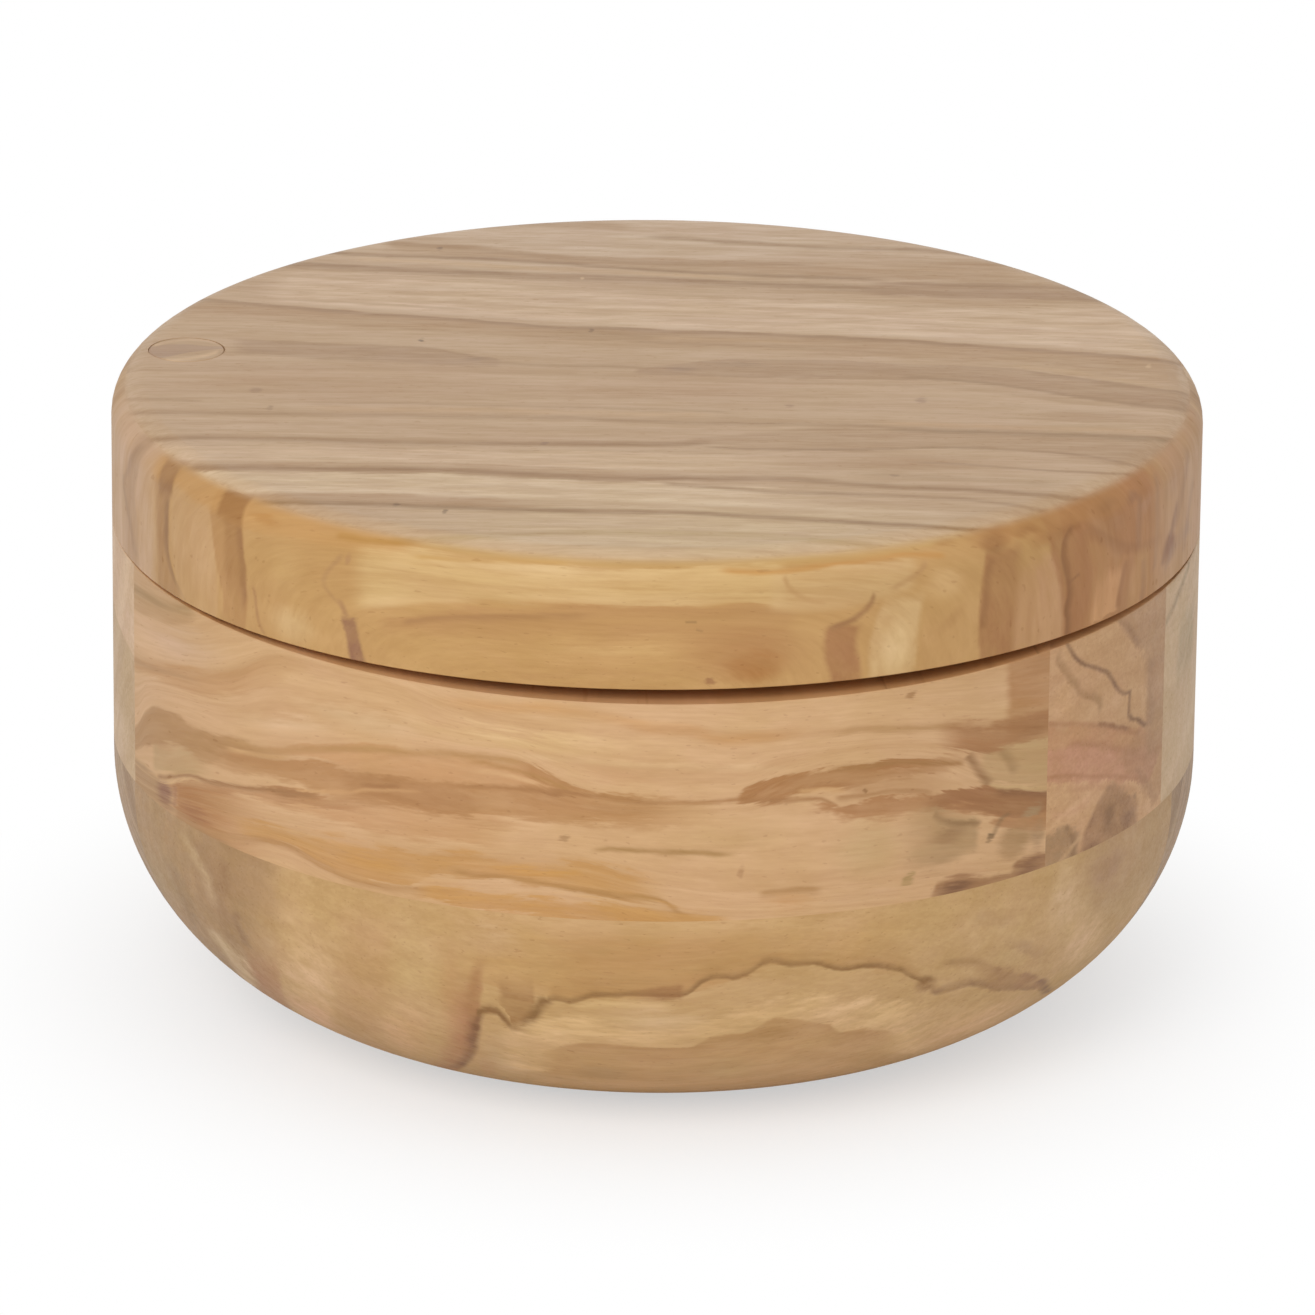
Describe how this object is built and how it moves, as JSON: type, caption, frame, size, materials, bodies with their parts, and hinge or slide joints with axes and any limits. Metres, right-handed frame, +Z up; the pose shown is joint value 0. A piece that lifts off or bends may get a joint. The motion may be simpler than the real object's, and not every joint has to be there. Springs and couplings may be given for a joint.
{
  "type": "salt keeper with swivel lid",
  "caption": "Round wooden salt keeper glued up from blocks, with a thick disc lid that swings aside on an upright screw and shuts on a magnet.",
  "frame": {"origin": "centre of the foot, on the surface the keeper stands on", "axes": "+Z up along the bowl's axis, -Y towards the front, +X to the right, so the pivot is at the left"},
  "size_m": [0.12, 0.12, 0.0698],
  "materials": {
    "olive_wood_base": "oiled satin",
    "olive_wood_blocks": "oiled satin",
    "olive_wood_lid": "oiled satin",
    "screw_steel": "zinc plated",
    "magnet_nickel": "nickel plated"
  },
  "bodies": {
    "bowl": {"base_front_board": "olive_wood_base", "base_middle_board": "olive_wood_base", "base_rear_board": "olive_wood_base", "front_block": "olive_wood_blocks", "front_end_block": "olive_wood_blocks", "left_block": "olive_wood_blocks", "right_block": "olive_wood_blocks", "rear_block": "olive_wood_blocks", "pivot_screw": "screw_steel", "pivot_washer": "screw_steel", "rim_magnet": "magnet_nickel"},
    "lid": {"lid_disc": "olive_wood_lid", "pivot_plug": "olive_wood_lid", "lid_magnet": "magnet_nickel"}
  },
  "joints": [
    {"name": "lid_swivel", "type": "hinge", "parent": "bowl", "child": "lid", "pos_m": [-0.05212, 0.00779, 0.0543], "axis": [0, 0, 1], "continuous": true}
  ]
}
